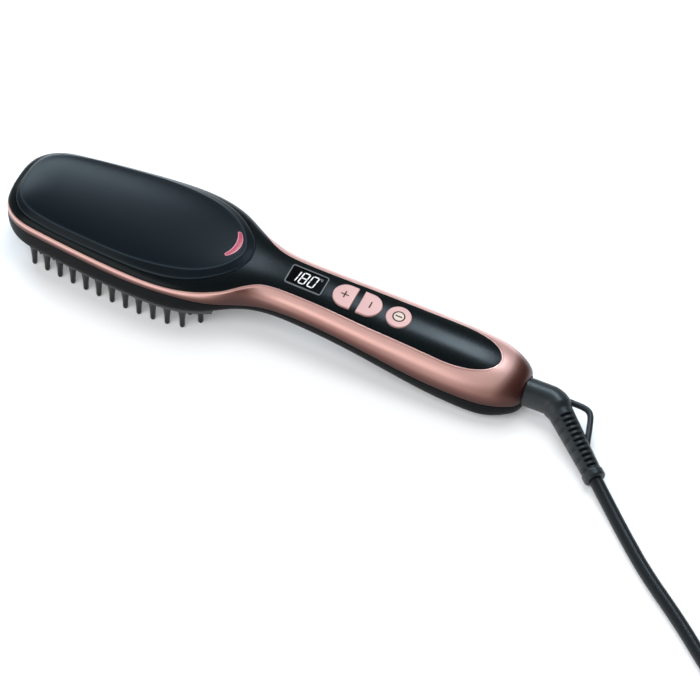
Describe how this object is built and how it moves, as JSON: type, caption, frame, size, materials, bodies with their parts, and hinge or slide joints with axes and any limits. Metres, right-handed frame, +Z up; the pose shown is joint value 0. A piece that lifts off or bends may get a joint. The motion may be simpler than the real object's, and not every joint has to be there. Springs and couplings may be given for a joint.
{
  "type": "heated hair straightening brush",
  "caption": "Paddle-shaped heated hair brush with a display, three keys, a side band, bristles below and a swivelling mains lead with its plug.",
  "frame": {"origin": "centre of the brush's own box, on the surface it lies on, without the lead", "axes": "+X from the head to the handle's end, +Y across, +Z up with the bristles down"},
  "size_m": [0.5448, 0.178, 0.0438],
  "materials": {
    "shell_black": "satin moulded plastic",
    "panel_black": "satin coated panel",
    "rose_metallic": "satin metallic lacquer on plastic",
    "lower_black": "satin moulded plastic",
    "key_rose": "satin metallic lacquer on plastic",
    "bristle_black": "glossy heat-proof plastic",
    "coated_metal": "ceramic-coated aluminium",
    "bare_metal": "satin",
    "steel": "zinc-plated",
    "window_dark": "gloss",
    "bezel_grey": "satin",
    "light_red": "translucent",
    "board_green": "solder mask",
    "ceramic_white": "ceramic",
    "inner_black": "moulded plastic",
    "rubber_black": "satin flexible PVC",
    "pin_metal": "nickel-plated brass",
    "bush_white": "acetal",
    "wire_red": "silicone insulation"
  },
  "bodies": {
    "brush": {"top_shell": "shell_black", "head_panel": "panel_black", "side_band": "rose_metallic", "lower_shell": "lower_black", "light_lens": "light_red", "light_board": "board_green", "plate_frame": "inner_black", "heater_plate": "coated_metal", "heated_pins": "coated_metal", "guard_bristles": "bristle_black", "heater_clamp": "bare_metal", "ptc_heaters": "ceramic_white", "heater_screws": "steel", "thermal_fuse": "ceramic_white", "temperature_sensor": "bare_metal", "heater_leads": "wire_red", "main_board": "board_green", "display_bezel": "bezel_grey", "display_window": "window_dark", "display_module": "inner_black", "tact_switches": "inner_black", "ion_generator": "inner_black", "ion_outlet": "bezel_grey", "case_screws": "steel", "swivel_bush": "bush_white", "contact_block": "inner_black", "cord_lead": "rubber_black", "cord_coil": "rubber_black", "cord_tail": "rubber_black", "cord_tie": "rubber_black", "plug_body": "rubber_black", "plug_pins": "pin_metal"},
    "plus_key": {"plus_button": "key_rose"},
    "minus_key": {"minus_button": "key_rose"},
    "power_key": {"power_button": "key_rose"},
    "cord_swivel": {"strain_relief": "rubber_black", "hanging_loop": "rubber_black", "slip_rings": "pin_metal"}
  },
  "joints": [
    {"name": "plus_press", "type": "slide", "parent": "brush", "child": "plus_key", "axis": [-0.0578, 0, -0.9983], "range_m": [0, 0.0008], "stiffness_N_per_m": 600, "springref_m": -0.0005},
    {"name": "minus_press", "type": "slide", "parent": "brush", "child": "minus_key", "axis": [-0.0578, 0, -0.9983], "range_m": [0, 0.0008], "stiffness_N_per_m": 600, "springref_m": -0.0005},
    {"name": "power_press", "type": "slide", "parent": "brush", "child": "power_key", "axis": [-0.0578, 0, -0.9983], "range_m": [0, 0.0008], "stiffness_N_per_m": 600, "springref_m": -0.0005},
    {"name": "lead_swivel", "type": "hinge", "parent": "brush", "child": "cord_swivel", "pos_m": [0.1426, 0, 0.0135], "axis": [1, 0, 0], "continuous": true}
  ]
}
